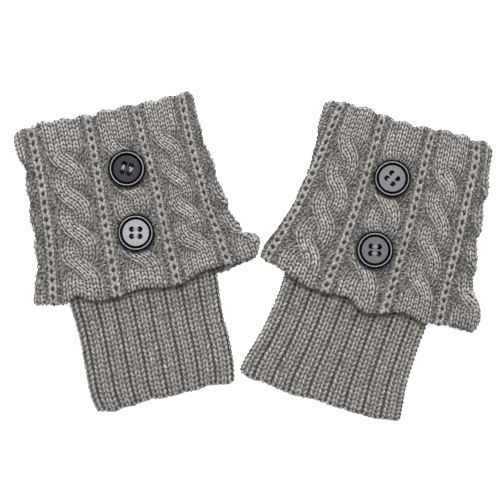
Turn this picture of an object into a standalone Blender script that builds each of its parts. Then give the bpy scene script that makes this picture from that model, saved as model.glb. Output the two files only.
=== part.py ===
"""A pair of short knitted leg warmers, laid flat: ribbed tubes with turned-down cable cuffs and two buttons.

Every size is in millimetres until the points are written into a mesh. In a leg warmer's own frame, "across"
runs to the right, "along" runs from the turned top edge down to the ribbed end, and "height" is above the
surface that it lies on. Its object frame has X = across, Y = -along and Z = height.
"""

import math
from collections import namedtuple

import bmesh
import bpy
import numpy as np

MM = 0.001

# Driving sizes
CUFF_LENGTH = 122.0
RIB_LENGTH = 198.0
CUFF_WALL = 2.0
RIB_WALL = 2.0
LAYER_GAP = 0.5
HOLLOW = 0.6
BUTTON_DIAMETER = 25.0

# The layers that lie on each other, from the surface up
RIB_UNDERSIDE = CUFF_WALL + LAYER_GAP
RIB_HEIGHT = 2 * RIB_WALL + HOLLOW
RIB_RELIEF = 0.9
CUFF_STACK = RIB_UNDERSIDE + RIB_HEIGHT + RIB_RELIEF + LAYER_GAP + CUFF_WALL
CUFF_FOLDED = 2 * CUFF_WALL + 1.0

# How the cuff narrows from the stack of four layers to its own two, beyond the rib's edge
SNUG_MARGIN = 4.0
LOOSE_MARGIN = 15.0
FOLD_MARGIN = 6.0

# Where the rib comes down to the surface, past the cuff's back
RIB_COMES_DOWN = 127.0
RIB_IS_DOWN = 141.0

# The turned top edge, whose lip closes over the rib's end
TURN_ANGLES = (0.0, 32.0, 62.0)
TURN_LENGTH = 2.6
TURN_DEPTH = 2.4
LIP_LENGTH = 2.2
LIP_DEPTH = CUFF_WALL + 2.4
RIB_START = 3.6
RIB_START_BEVEL = 0.5

# The rounded end of a wall, by the distance from its end, the depth below its outer face and the share of the
# raised knitting that is left
End = namedtuple("End", "before depth raised")
WALL_END = (End(1.1, 0.0, 1.0), End(0.2, 0.4, 0.5), End(0.0, 1.0, 0.0), End(0.3, 2.0, 0.0))

# The cable pattern round the cuff: a rope cable, then a chain column with a gutter on each side
REPEATS = 7
REPEAT_WIDTH = 38.0
ROPE_HALF_WIDTH = 12.4
STRAND_OFFSET = 5.8
STRAND_HALF_WIDTH = 6.6
FIRST_CROSSING = 30.0
CROSSING_PITCH = 23.2
CROSSINGS = 4
ROPE_RELIEF = 2.3
STRAIGHT_RELIEF = 1.2
ROPE_FLOOR = 0.4
CROSSING_REACH = 0.34
STRAND_ENDS = 0.95
STRAND_FADE = 0.6
TWIST_BEGINS = 14.0
TWIST_FADE = 8.0
CHAIN_RELIEF = 0.7
CHAIN_SPACING = 3.2
CHAIN_HALF_WIDTH = 2.6

# The 2x2 rib, each rib of which makes one scallop of the turned edge
RIBS = 17
GROOVE_SHARE = 0.2
SCALLOP = 2.2
FIRST_VALLEY = {"left": -52.3, "right": -50.3}
RIB_PHASE = {"left": 0.46, "right": 0.17}
FRONT_RIBS = {"left": 8.74, "right": 8.94}

# Where the mesh's columns stand, in millimetres from a cable's centre and in parts of a rib
CABLE_COLUMNS = (-12.4, -9.3, -5.8, -1.9, 1.9, 5.8, 9.3, 12.4, 15.8, 19.0, 22.2)
CUFF_FRONT = (-0.15, 4.15)
RIB_COLUMNS = (0.0, 0.22, 0.5, 0.78)
RIB_FRONT = (0.2, 9.4)
BACK_COLUMNS_OF_CUFF = 9
BACK_COLUMNS_OF_RIB = 8
ROWS_A_CROSSING = 5
CUFF_LINING_ROWS = 9
HIDDEN_RIB_ROWS = (30.0, 70.0, 105.0)
SHOWN_RIB_STARTS = 124.0
RIB_ROWS = 9
RIB_LINING_ROWS = 7

# A flattened tube's section: how full its folded edges are, and how far round them the knitting is raised
SECTION_STEPS = 240
EDGE_POWER = 2.3
EDGE_SHARE = 0.55
EDGE_LEAST = 0.4
DIRECTION_REACH = 0.35
RAISED_TO = 0.35

# Buttons
BUTTON_THICKNESS = 3.8
BUTTON_SEAT = 0.45
BUTTON_PRESS = 0.35
BUTTON_CLEARANCE = 0.3
LEAN_ROOM = 1.4
MERGE = 0.05
BUTTON_STEPS = 32
HOLE_DIAMETER = 3.1
HOLE_SPACING = 5.2
HOLE_SIDES = 10

# Each leg warmer's place: the middle of its turned edge, and its turn in degrees
PLACES = {
    "left": {"across": -101.02, "up": 98.52, "turn": 12.1},
    "right": {"across": 104.38, "up": 88.32, "turn": -19.0},
}

# The cuff's folded edges and its four chain columns, read across at distances along it
CUFF_COLUMNS = ("along", "left", "chain_a", "chain_b", "chain_c", "chain_d", "right")
CUFF_ROWS = {
    "left": (
        (0.0, -64.0, -51.9, -12.3, 21.0, 52.8, 61.0),
        (14.0, -63.8, -51.8, -12.4, 21.2, 52.4, 60.4),
        (28.0, -60.9, -52.0, -13.0, 22.0, 52.4, 60.8),
        (42.0, -62.4, -52.3, -13.7, 22.9, 52.6, 62.7),
        (62.0, -63.8, -53.8, -14.8, 23.7, 53.9, 65.2),
        (82.0, -65.4, -55.6, -15.8, 23.5, 54.9, 68.0),
        (97.0, -67.6, -57.8, -16.5, 23.6, 57.6, 72.0),
        (102.0, -68.8, -58.6, -16.7, 23.8, 58.2, 72.8),
        (107.0, -70.2, -59.4, -17.0, 24.0, 58.8, 82.4),
        (114.0, -72.8, -60.6, -17.4, 24.2, 59.6, 82.6),
        (122.0, -74.6, -61.5, -17.6, 24.4, 60.4, 78.2),
    ),
    "right": (
        (0.0, -57.8, -46.8, -18.0, 17.6, 47.6, 59.8),
        (14.0, -57.4, -48.0, -17.4, 18.4, 51.6, 61.8),
        (28.0, -55.6, -48.8, -16.4, 20.0, 53.4, 64.8),
        (42.0, -54.3, -49.6, -15.7, 21.5, 55.0, 67.0),
        (62.0, -55.4, -51.2, -14.8, 23.6, 57.6, 70.6),
        (82.0, -57.9, -53.6, -15.0, 24.6, 59.6, 75.2),
        (97.0, -62.1, -56.4, -15.4, 25.3, 61.0, 79.4),
        (106.0, -64.6, -58.8, -16.2, 25.8, 62.0, 86.6),
        (113.0, -66.2, -60.4, -16.6, 26.2, 63.0, 89.4),
        (122.0, -66.4, -61.0, -17.0, 26.6, 64.0, 87.0),
    ),
}

# The rib tube's folded edges
RIB_EDGES = ("along", "left", "right")
RIB_ROWS_ACROSS = {
    "left": (
        (0.0, -59.2, 56.5),
        (25.0, -56.0, 55.0),
        (60.0, -52.5, 53.0),
        (100.0, -50.3, 51.6),
        (125.0, -49.8, 50.6),
        (150.0, -48.8, 49.2),
        (172.0, -49.6, 49.9),
        (190.0, -49.2, 48.6),
        (198.0, -47.0, 46.8),
    ),
    "right": (
        (0.0, -53.2, 53.0),
        (25.0, -50.2, 56.4),
        (60.0, -48.4, 57.2),
        (100.0, -46.6, 57.2),
        (128.0, -45.4, 56.2),
        (150.0, -46.4, 56.2),
        (172.0, -49.4, 57.3),
        (186.0, -52.4, 59.2),
        (198.0, -53.4, 60.6),
    ),
}

# Pairs of a distance across and how far the edge line lies below its even place there
TOP_LINES = {
    "left": (
        (-65.0, 3.4),
        (-59.0, 1.6),
        (-48.0, -1.4),
        (-30.0, 0.0),
        (0.0, -0.1),
        (30.0, 0.2),
        (44.0, 0.0),
        (55.0, -0.9),
        (62.0, 0.9),
    ),
    "right": (
        (-59.0, 3.4),
        (-54.0, 0.6),
        (-40.0, -1.8),
        (-8.0, -1.4),
        (8.0, -2.4),
        (36.0, -6.2),
        (53.0, -6.2),
        (60.0, -5.2),
    ),
}
FRONT_HEMS = {
    "left": (
        (-75.0, -3.6),
        (-66.0, -1.0),
        (-53.0, 0.7),
        (-46.0, -4.0),
        (-35.0, 1.4),
        (-17.0, 4.0),
        (0.0, 0.2),
        (12.0, 3.0),
        (27.0, 4.4),
        (38.0, -1.2),
        (50.0, -3.0),
        (62.0, -1.6),
        (78.0, -3.5),
    ),
    "right": (
        (-66.0, -5.0),
        (-58.0, -3.0),
        (-48.0, -2.4),
        (-32.0, 2.4),
        (-17.0, 4.4),
        (-2.0, 0.8),
        (14.0, 6.8),
        (24.0, 5.4),
        (38.0, -1.6),
        (56.0, 0.6),
        (68.0, -1.5),
        (75.0, -3.2),
        (87.0, -4.2),
    ),
}
BACK_HEMS = {
    "left": ((-75.0, -4.4), (-50.0, -3.0), (0.0, -2.0), (50.0, 2.2), (62.0, 0.8), (78.0, -3.5)),
    "right": ((-66.0, -5.0), (-48.0, -3.4), (0.0, -2.0), (50.0, -2.0), (75.0, -4.6), (87.0, -4.2)),
}
RIB_ENDS = {
    "left": (
        (-49.0, 0.3),
        (-42.0, 1.6),
        (-35.0, 2.8),
        (-29.0, 1.6),
        (-22.0, 1.5),
        (-12.0, -0.2),
        (0.0, 0.9),
        (12.0, 0.2),
        (24.0, 0.0),
        (31.0, -1.2),
        (41.0, 0.6),
        (49.0, 0.0),
    ),
    "right": (
        (-54.0, -4.2),
        (-48.0, -2.1),
        (-42.0, -1.1),
        (-36.0, -1.8),
        (-24.0, -0.7),
        (-12.0, -0.4),
        (0.0, -2.0),
        (12.0, -1.9),
        (34.0, -2.7),
        (48.0, -4.1),
        (54.0, -5.7),
        (60.6, -7.2),
    ),
}

# Folds and lifts of the cuff's front: a hump or a trough, by its middle, its reach and its height
Fold = namedtuple("Fold", "across along reach_across reach_along height")
CUFF_FOLDS = {
    "left": (
        Fold(-46.0, 121.0, 7.0, 9.0, 2.2),
        Fold(3.0, 123.0, 9.0, 9.0, 1.8),
        Fold(45.0, 121.0, 10.0, 11.0, 2.6),
        Fold(76.0, 112.0, 9.0, 9.0, 2.6),
        Fold(66.5, 101.0, 4.0, 7.0, -1.6),
    ),
    "right": (
        Fold(-41.0, 121.0, 8.0, 9.0, 2.2),
        Fold(-3.0, 123.0, 8.0, 9.0, 2.4),
        Fold(34.0, 122.0, 10.0, 10.0, 2.6),
        Fold(82.0, 113.0, 8.5, 9.0, 2.6),
        Fold(71.0, 107.0, 3.5, 9.0, -1.4),
        Fold(64.0, 88.0, 3.0, 12.0, -0.8),
    ),
}

# Buttons, by their centres on each cuff, the turn of their holes and their lean on the knit, in degrees
Button = namedtuple("Button", "name across along turn lean_across lean_along")
BUTTONS = {
    "left": (Button("upper", 6.7, 41.1, -27.8, 1.2, -1.0), Button("lower", 3.6, 84.7, -12.1, -0.6, 1.4)),
    "right": (Button("upper", 1.5, 36.6, -25.0, 0.6, 0.8), Button("lower", 6.3, 86.3, 15.0, -0.8, 0.6)),
}

# A button's outline from its axis on top, over the raised rim and back to the axis underneath: its distance
# from the axis in parts of the radius, and its height above the underside
Profile = namedtuple("Profile", "radius height")
BUTTON_PROFILE = (
    Profile(0.0, BUTTON_THICKNESS - 1.1),
    Profile(0.74, BUTTON_THICKNESS - 1.1),
    Profile(0.82, BUTTON_THICKNESS - 0.9),
    Profile(0.90, BUTTON_THICKNESS),
    Profile(0.95, BUTTON_THICKNESS - 0.1),
    Profile(1.0, BUTTON_THICKNESS - 1.1),
    Profile(1.0, 1.0),
    Profile(0.88, 0.0),
    Profile(0.0, 0.0),
)

# Colours of the yarn and of the buttons, with roughness
YARN = {"colour": (0.27, 0.26, 0.235), "roughness": 0.95}
RIB_YARN = {"colour": (0.24, 0.23, 0.21), "roughness": 0.95}
RESIN = {"colour": (0.018, 0.018, 0.022), "roughness": 0.22}


def smooth(value):
    """An even rise from 0 to 1."""
    value = np.clip(value, 0.0, 1.0)
    return value * value * (3.0 - 2.0 * value)


def flowing(place, places, values):
    """Values read at a place from a smooth curve through the points of a table."""
    places = np.asarray(places, float)
    values = np.asarray(values, float)
    slopes = np.gradient(values, places)
    place = np.clip(place, places[0], places[-1])
    row = np.clip(np.searchsorted(places, place) - 1, 0, len(places) - 2)
    width = places[row + 1] - places[row]
    t = (place - places[row]) / width
    start = (1 + 2 * t) * (1 - t) ** 2 * values[row] + t * (1 - t) ** 2 * width * slopes[row]
    end = t * t * (3 - 2 * t) * values[row + 1] + t * t * (t - 1) * width * slopes[row + 1]
    return start + end


def named_columns(rows, columns, along):
    """Each named column of a table, read at one distance along."""
    table = np.array(rows, float)
    return {name: float(flowing(along, table[:, 0], table[:, i])) for i, name in enumerate(columns) if i}


def line_below(rows, across):
    table = np.array(rows, float)
    return flowing(across, table[:, 0], table[:, 1])


def rope_relief(across, along):
    """The height of a rope cable's two strands. At each crossing the strand from the left passes over."""
    relief = np.zeros_like(across)
    first, last = FIRST_CROSSING, FIRST_CROSSING + (CROSSINGS - 1) * CROSSING_PITCH
    for number in range(-1, CROSSINGS + 1):
        t = (along - first) / CROSSING_PITCH - number
        t = max(t, {-1: 0.5, 0: -0.5}.get(number, t))
        t = min(t, {CROSSINGS - 1: 0.5, CROSSINGS: -0.5}.get(number, t))
        middle = STRAND_OFFSET * (2 * smooth((t + CROSSING_REACH) / (2 * CROSSING_REACH)) - 1)
        flank = np.clip(1 - ((across - middle) / STRAND_HALF_WIDTH) ** 2, 0, 1)
        fade = smooth((STRAND_ENDS - abs(t)) / STRAND_FADE)
        relief = np.maximum(relief, ROPE_RELIEF * fade * flank**0.7)
    body = np.clip(1 - (across / ROPE_HALF_WIDTH) ** 4, 0, 1)
    begins = smooth((along - first + TWIST_BEGINS) / TWIST_FADE)
    ends = smooth((last + TWIST_BEGINS - along) / TWIST_FADE)
    straight = 1 - begins * ends
    return np.maximum(relief, ROPE_FLOOR * body) * (1 - straight) + STRAIGHT_RELIEF * body * straight


def cuff_relief(pattern, along):
    """How far the cuff's knitting stands out, by its pattern place. A whole number is a cable's centre."""
    across = (pattern - np.round(pattern)) * REPEAT_WIDTH
    from_chain = REPEAT_WIDTH / 2 - np.abs(across)
    chain = CHAIN_RELIEF * np.clip(1 - ((from_chain - CHAIN_SPACING) / CHAIN_HALF_WIDTH) ** 2, 0, 1)
    return rope_relief(across, along) + chain


def rib_relief(pattern):
    """How far the rib's two knit wales stand out of the purl groove. A whole number is a groove."""
    part = pattern - np.floor(pattern)
    return RIB_RELIEF * smooth(np.minimum(part, 1 - part) / GROOVE_SHARE)


def closed_section(left, right, left_height, right_height, top_height):
    """A flattened tube's outer line, from its left fold over the front to the right and back underneath."""
    sweep = np.linspace(0, math.pi, SECTION_STEPS)
    across = left + (right - left) * (1 - np.cos(sweep)) / 2
    left_depth = EDGE_SHARE * left_height + EDGE_LEAST
    right_depth = EDGE_SHARE * right_height + EDGE_LEAST
    from_left = 1 - np.clip((across - left) / left_depth, 0, 1)
    from_right = 1 - np.clip((right - across) / right_depth, 0, 1)
    fullness = ((1 - from_left**EDGE_POWER) * (1 - from_right**EDGE_POWER)) ** (1 / EDGE_POWER)
    middle = np.where(across < (left + right) / 2, left_height / 2, right_height / 2)
    top = middle + (top_height(across) - middle) * fullness
    bottom = middle * (1 - fullness)
    line = np.column_stack((np.append(across, across[-2:0:-1]), np.append(top, bottom[-2:0:-1])))
    steps = np.linalg.norm(np.roll(line, -1, axis=0) - line, axis=1)
    walked = np.append(0.0, np.cumsum(steps))
    return line, walked


def read_section(line, walked, distance):
    """Points and outward directions at distances walked along a closed section."""
    distance = np.mod(distance, walked[-1])
    closed = np.vstack((line, line[:1]))
    points = np.column_stack([np.interp(distance, walked, closed[:, i]) for i in (0, 1)])
    ahead = np.mod(distance + DIRECTION_REACH, walked[-1])
    behind = np.mod(distance - DIRECTION_REACH, walked[-1])
    run = np.column_stack(
        [np.interp(ahead, walked, closed[:, i]) - np.interp(behind, walked, closed[:, i]) for i in (0, 1)]
    )
    run /= np.linalg.norm(run, axis=1)[:, None]
    outward = np.column_stack((-run[:, 1], run[:, 0]))
    return points, outward


def fold_heights(side, across, along):
    heights = np.zeros_like(across)
    for fold in CUFF_FOLDS[side]:
        beside = (across - fold.across) / fold.reach_across
        beyond = (along - fold.along) / fold.reach_along
        heights = heights + fold.height * np.exp(-(beside**2) - beyond**2)
    return heights


def cuff_section(side, along):
    """The cuff's outer line at one distance along, and where its chain columns lie on it."""
    cuff = named_columns(CUFF_ROWS[side], CUFF_COLUMNS, along)
    rib = named_columns(RIB_ROWS_ACROSS[side], RIB_EDGES, along)
    spread = LOOSE_MARGIN - SNUG_MARGIN
    left_margin = rib["left"] - cuff["left"]
    right_margin = cuff["right"] - rib["right"]
    slack = CUFF_STACK - CUFF_FOLDED
    left_height = CUFF_STACK - slack * smooth((left_margin - SNUG_MARGIN) / spread)
    right_height = CUFF_STACK - slack * smooth((right_margin - SNUG_MARGIN) / spread)
    left_height += float(fold_heights(side, np.array(cuff["left"] + SNUG_MARGIN), along))
    right_height += float(fold_heights(side, np.array(cuff["right"] - SNUG_MARGIN), along))

    def top_height(across):
        from_left = smooth((across - cuff["left"]) / left_margin)
        from_right = smooth((cuff["right"] - across) / right_margin)
        height = CUFF_STACK - (CUFF_STACK - left_height) * (1 - from_left)
        height = height - (CUFF_STACK - right_height) * (1 - from_right)
        inner = smooth((across - cuff["left"]) / FOLD_MARGIN) * smooth((cuff["right"] - across) / FOLD_MARGIN)
        return height + fold_heights(side, across, along) * inner

    line, walked = closed_section(cuff["left"], cuff["right"], left_height, right_height, top_height)
    front = walked[:SECTION_STEPS]
    columns = [cuff[name] for name in ("chain_a", "chain_b", "chain_c", "chain_d")]
    places = np.interp(columns, line[:SECTION_STEPS, 0], front)
    first = 0.5 - places[0] / REPEAT_WIDTH
    last = 3.5 + (front[-1] - places[3]) / REPEAT_WIDTH
    pattern = [first, 0.5, 1.5, 2.5, 3.5, last, first + REPEATS]
    walks = [0.0, *places, front[-1], walked[-1]]
    return line, walked, pattern, walks


def cuff_ring(side, pattern, along, depth, raised):
    """One ring of the cuff: its outer face moved in by a depth, with the knitting raised on what shows."""
    line, walked, marks, walks = cuff_section(side, along)
    turned = np.mod(pattern - marks[0], REPEATS) + marks[0]
    points, outward = read_section(line, walked, np.interp(turned, marks, walks))
    height = cuff_relief(pattern, along) * smooth((outward[:, 1] + RAISED_TO) / (2 * RAISED_TO)) * raised
    height = height * (1 - (1 - BUTTON_SEAT) * under_button(side, points[:, 0], along) * (outward[:, 1] > 0))
    placed = points + outward * (height - depth)[:, None]
    front = smooth(0.5 + outward[:, 1] / 2)
    share = along / CUFF_LENGTH
    ribs = rib_places(side, points[:, 0])
    scallops = SCALLOP * (0.5 - np.abs(np.sin(math.pi * ribs)))
    top = line_below(TOP_LINES[side], points[:, 0]) + scallops
    back_hem = line_below(BACK_HEMS[side], points[:, 0])
    hem = back_hem + (line_below(FRONT_HEMS[side], points[:, 0]) - back_hem) * front
    below = top * (1 - share) ** 2 + hem * share**2
    return np.column_stack((placed[:, 0], -(along + below), placed[:, 1]))


def rib_places(side, across):
    """The rib pattern's place at the turned edge, where each rib makes one scallop."""
    edges = named_columns(CUFF_ROWS[side], CUFF_COLUMNS, 0.0)
    return RIBS / 2 * (across - FIRST_VALLEY[side]) / (edges["right"] - edges["left"])


def under_button(side, across, along):
    """1 under a button and 0 away from it, where the knit is pressed down."""
    pressed = np.zeros_like(across)
    for row in BUTTONS[side]:
        distance = np.hypot(across - row.across, along - row.along) / (BUTTON_DIAMETER / 2)
        pressed = np.maximum(pressed, 1 - smooth((distance - 1.0) / BUTTON_PRESS))
    return pressed


def rib_ring(side, pattern, along, depth, raised):
    """One ring of the rib tube, which lies on the cuff's back and comes down to the surface past its hem."""
    edges = named_columns(RIB_ROWS_ACROSS[side], RIB_EDGES, along)
    lift = RIB_UNDERSIDE * (1 - float(smooth((along - RIB_COMES_DOWN) / (RIB_IS_DOWN - RIB_COMES_DOWN))))
    line, walked = closed_section(
        edges["left"], edges["right"], RIB_HEIGHT, RIB_HEIGHT, lambda across: np.full_like(across, RIB_HEIGHT)
    )
    front = walked[SECTION_STEPS - 1]
    first = RIB_PHASE[side]
    marks = [first, first + FRONT_RIBS[side], first + RIBS]
    walks = [0.0, front, walked[-1]]
    turned = np.mod(pattern - first, RIBS) + first
    points, outward = read_section(line, walked, np.interp(turned, marks, walks))
    height = rib_relief(pattern) * smooth((outward[:, 1] + RAISED_TO) / (2 * RAISED_TO)) * raised
    placed = points + outward * (height - depth)[:, None]
    share = along / RIB_LENGTH
    top = line_below(TOP_LINES[side], points[:, 0])
    end = line_below(RIB_ENDS[side], points[:, 0])
    below = top * (1 - share) ** 2 + end * share**6
    return np.column_stack((placed[:, 0], -(along + below), placed[:, 1] + lift))


def loft(name, rings):
    """A closed wall: rings of points run down the outside and up the inside, and the last joins the first."""
    mesh = bpy.data.meshes.new(name)
    shape = bmesh.new()
    loops = [[shape.verts.new(tuple(point * MM)) for point in ring] for ring in rings]
    for upper, lower in zip(loops, loops[1:] + loops[:1]):
        for i, corner in enumerate(upper):
            following = (i + 1) % len(upper)
            shape.faces.new((corner, lower[i], lower[following], upper[following]))
    bmesh.ops.recalc_face_normals(shape, faces=shape.faces)
    shape.to_mesh(mesh)
    shape.free()
    mesh.shade_smooth()
    return mesh


def wall_end(length):
    """The last rings of a wall, which round its end off."""
    return [(length - end.before, end.depth, end.raised) for end in WALL_END]


def round_the_tube(columns, front, repeats, back_columns):
    """The pattern places of a ring's points: close on the raised front and wide behind."""
    places = [repeat + column for repeat in range(repeats) for column in columns]
    places = [place for place in places if front[0] < place < front[1]]
    back = np.linspace(places[-1], places[0] + repeats, back_columns + 2)[1:-1]
    return np.append(places, back)


def cuff_rings(side):
    columns = [column / REPEAT_WIDTH for column in CABLE_COLUMNS]
    pattern = round_the_tube(columns, CUFF_FRONT, REPEATS, BACK_COLUMNS_OF_CUFF)
    turn = [math.radians(angle) for angle in TURN_ANGLES]
    turned = [(TURN_LENGTH * (1 - math.cos(a)), TURN_DEPTH * (1 - math.sin(a)), 0.0) for a in turn]
    rows = round((CUFF_LENGTH - TURN_LENGTH) / CROSSING_PITCH * ROWS_A_CROSSING)
    stops = np.linspace(TURN_LENGTH, CUFF_LENGTH - WALL_END[0].before, rows)[:-1]
    outer = [(along, 0.0, 1.0) for along in stops]
    stops = np.linspace(CUFF_LENGTH - 2 * CUFF_WALL, LIP_LENGTH, CUFF_LINING_ROWS)
    lining = [(along, CUFF_WALL, 0.0) for along in stops]
    lip = [(LIP_LENGTH, LIP_DEPTH, 0.0), (LIP_LENGTH / 2, LIP_DEPTH, 0.0)]
    rows = turned + outer + wall_end(CUFF_LENGTH) + lining + lip
    return [cuff_ring(side, pattern, *row) for row in rows]


def rib_rings(side):
    pattern = round_the_tube(RIB_COLUMNS, RIB_FRONT, RIBS, BACK_COLUMNS_OF_RIB)
    top = [(RIB_START, RIB_WALL - RIB_START_BEVEL, 0.0), (RIB_START, RIB_START_BEVEL, 0.0)]
    hidden = [(along, 0.0, 1.0) for along in (RIB_START + RIB_START_BEVEL, *HIDDEN_RIB_ROWS)]
    stops = np.linspace(SHOWN_RIB_STARTS, RIB_LENGTH - WALL_END[0].before, RIB_ROWS)[:-1]
    shown = [(along, 0.0, 1.0) for along in stops]
    stops = np.linspace(RIB_LENGTH - 2 * RIB_WALL, RIB_START + RIB_START_BEVEL, RIB_LINING_ROWS)
    lining = [(along, RIB_WALL, 0.0) for along in stops]
    rows = top + hidden + shown + wall_end(RIB_LENGTH) + lining
    return [rib_ring(side, pattern, *row) for row in rows]


def material(name, look):
    made = bpy.data.materials.new(name)
    made.use_nodes = True
    shader = made.node_tree.nodes["Principled BSDF"]
    shader.inputs["Base Color"].default_value = (*look["colour"], 1.0)
    shader.inputs["Roughness"].default_value = look["roughness"]
    shader.inputs["Metallic"].default_value = 0.0
    made.diffuse_color = (*look["colour"], 1.0)
    return made


def add_object(name, mesh, look, parent, collection):
    added = bpy.data.objects.new(name, mesh)
    mesh.materials.append(material(name, look))
    collection.objects.link(added)
    added.parent = parent
    return added


def add_button(side, row, parent, collection, cutters):
    label = f"{side}_button_{row.name}"
    mesh = bpy.data.meshes.new(label)
    shape = bmesh.new()
    radius = BUTTON_DIAMETER / 2
    outline = [(point.radius * radius * MM, 0.0, point.height * MM) for point in BUTTON_PROFILE]
    points = [shape.verts.new(place) for place in outline]
    for first, second in zip(points, points[1:]):
        shape.edges.new((first, second))
    shape.to_mesh(mesh)
    shape.free()
    button = add_object(label, mesh, RESIN, parent, collection)
    screw = button.modifiers.new("Turned", "SCREW")
    screw.steps = BUTTON_STEPS
    screw.render_steps = BUTTON_STEPS
    screw.use_merge_vertices = True
    screw.merge_threshold = MERGE * MM
    for hole_across in (-1, 1):
        for hole_along in (-1, 1):
            place = (hole_across * HOLE_SPACING / 2, hole_along * HOLE_SPACING / 2, BUTTON_THICKNESS / 2)
            cut = button.modifiers.new("Hole", "BOOLEAN")
            cut.operation = "DIFFERENCE"
            cut.object = add_hole_cutter(f"{label}_hole", place, button, cutters)
    lean = math.radians(max(abs(row.lean_across), abs(row.lean_along))) * radius
    crest = CUFF_STACK + ROPE_RELIEF * BUTTON_SEAT + BUTTON_CLEARANCE + LEAN_ROOM * lean
    button.location = (row.across * MM, -row.along * MM, crest * MM)
    button.rotation_mode = "ZYX"
    button.rotation_euler = [math.radians(angle) for angle in (row.lean_along, row.lean_across, row.turn)]


def add_hole_cutter(name, place, button, cutters):
    bpy.ops.mesh.primitive_cylinder_add(
        vertices=HOLE_SIDES, radius=HOLE_DIAMETER / 2 * MM, depth=3 * BUTTON_THICKNESS * MM
    )
    cutter = bpy.context.object
    cutter.name = name
    for held in list(cutter.users_collection):
        held.objects.unlink(cutter)
    cutters.objects.link(cutter)
    cutter.parent = button
    cutter.location = [length * MM for length in place]
    cutter.hide_render = True
    cutter.display_type = "WIRE"
    return cutter


def add_collection(name):
    made = bpy.data.collections.new(name)
    bpy.context.scene.collection.children.link(made)
    return made


def build_leg_warmer(side, collection, cutters):
    place = PLACES[side]
    holder = bpy.data.objects.new(f"{side}_leg_warmer", None)
    collection.objects.link(holder)
    holder.location = (place["across"] * MM, place["up"] * MM, 0.0)
    holder.rotation_euler = (0.0, 0.0, math.radians(place["turn"]))
    add_object(f"{side}_cuff", loft(f"{side}_cuff", cuff_rings(side)), YARN, holder, collection)
    add_object(f"{side}_rib_tube", loft(f"{side}_rib_tube", rib_rings(side)), RIB_YARN, holder, collection)
    for row in BUTTONS[side]:
        add_button(side, row, holder, collection, cutters)


def build():
    for old in list(bpy.data.objects):
        bpy.data.objects.remove(old)
    collection = add_collection("Leg_Warmers")
    cutters = add_collection("Leg_Warmers_Cutters")
    for side in PLACES:
        build_leg_warmer(side, collection, cutters)


build()
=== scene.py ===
"""The looks of a pair of short knitted leg warmers that lie flat: stitches, buttons, light and camera.

Lengths are in millimetres until points are written into a mesh. In a leg warmer's own frame, "across"
runs to the right, "along" runs from the turned top edge down to the ribbed end, and "height" is above the
surface that it lies on. Its points have X = across, Y = -along and Z = height.
"""

import math
from collections import namedtuple

import bmesh
import bpy
import numpy as np
from mathutils import Matrix, Vector


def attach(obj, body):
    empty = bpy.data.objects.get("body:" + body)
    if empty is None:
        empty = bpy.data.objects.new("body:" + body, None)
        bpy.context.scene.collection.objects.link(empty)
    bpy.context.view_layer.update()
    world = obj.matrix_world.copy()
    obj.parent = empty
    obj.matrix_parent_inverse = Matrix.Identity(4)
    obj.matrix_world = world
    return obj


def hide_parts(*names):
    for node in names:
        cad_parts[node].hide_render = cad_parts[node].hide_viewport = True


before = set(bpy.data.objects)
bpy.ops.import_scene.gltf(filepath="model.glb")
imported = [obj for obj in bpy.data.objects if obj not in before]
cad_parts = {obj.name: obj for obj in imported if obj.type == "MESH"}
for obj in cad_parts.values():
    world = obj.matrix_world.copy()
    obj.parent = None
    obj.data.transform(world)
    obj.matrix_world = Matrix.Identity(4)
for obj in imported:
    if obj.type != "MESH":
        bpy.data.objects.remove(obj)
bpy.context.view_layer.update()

MM = 0.001
SIDES = ("left", "right")

# The solids' driving sizes
CUFF_LENGTH = 122.0
RIB_LENGTH = 198.0
CUFF_WALL = 2.0
RIB_WALL = 2.0
LAYER_GAP = 0.5
RIB_UNDERSIDE = CUFF_WALL + LAYER_GAP
RIB_HEIGHT = 4.6
RIB_RELIEF = 0.9
CUFF_STACK = RIB_UNDERSIDE + RIB_HEIGHT + RIB_RELIEF + LAYER_GAP + CUFF_WALL
CUFF_FOLDED = 5.0
SNUG_MARGIN = 4.0
LOOSE_MARGIN = 15.0
FOLD_MARGIN = 6.0
RIB_COMES_DOWN = 127.0
RIB_IS_DOWN = 141.0
RIB_START = 3.6
TURN_LENGTH = 2.6
TURN_DEPTH = 2.4

# The cable pattern round the cuff, and the ropes' crossings along it
REPEATS = 7
REPEAT_WIDTH = 38.0
ROPE_HALF_WIDTH = 12.4
FIRST_CROSSING = 30.0
CROSSING_PITCH = 23.2
CROSSINGS = 4
TWIST_BEGINS = 14.0
TWIST_FADE = 8.0

# The 2x2 rib, and the scallop that each rib makes of the turned edge
RIBS = 17
RIB_PITCH = 11.8
SCALLOP = 2.2
FIRST_VALLEY = {"left": -52.3, "right": -50.3}
RIB_PHASE = {"left": 0.46, "right": 0.17}
FRONT_RIBS = {"left": 8.74, "right": 8.94}

# A flattened tube's section: how full its folded edges are
SECTION_STEPS = 240
EDGE_POWER = 2.3
EDGE_SHARE = 0.55
EDGE_LEAST = 0.4
DIRECTION_REACH = 0.35
RAISED_TO = 0.35

# Buttons
BUTTON_DIAMETER = 25.0
BUTTON_THICKNESS = 3.8
BUTTON_CREST = CUFF_STACK + 2.3 * 0.45 + 0.3
LEAN_ROOM = 1.4

# Each leg warmer's place: the middle of its turned edge, and its turn in degrees
PLACES = {
    "left": {"across": -101.02, "up": 98.52, "turn": 12.1},
    "right": {"across": 104.38, "up": 88.32, "turn": -19.0},
}

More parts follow.
